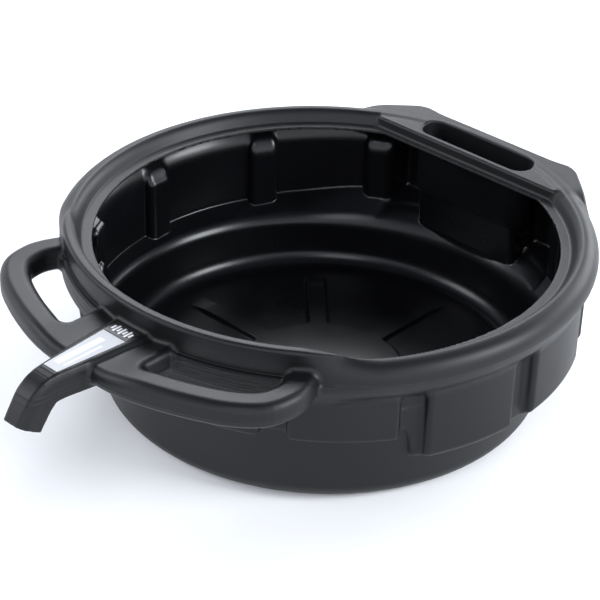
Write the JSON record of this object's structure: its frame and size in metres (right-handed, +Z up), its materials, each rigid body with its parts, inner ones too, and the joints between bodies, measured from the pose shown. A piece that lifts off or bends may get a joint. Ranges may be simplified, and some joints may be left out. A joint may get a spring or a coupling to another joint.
{
  "type": "oil drain pan",
  "caption": "Round blow-moulded workshop drain pan with a splash lip, a pouring spout between two front handles and a rear grip slot.",
  "frame": {"origin": "centre of the round base, on the floor it rests on", "axes": "+Z up, -Y towards the pouring spout, +Y towards the rear grip, +X to the right seen from the spout's side"},
  "size_m": [0.4306, 0.5421, 0.1528],
  "materials": {
    "black_hdpe": "satin moulded texture",
    "silver_label": "printed satin film",
    "black_label": "printed satin film"
  },
  "bodies": {
    "root": {"pan_moulding": "black_hdpe", "front_label": "silver_label", "capacity_label": "black_label"}
  },
  "joints": []
}
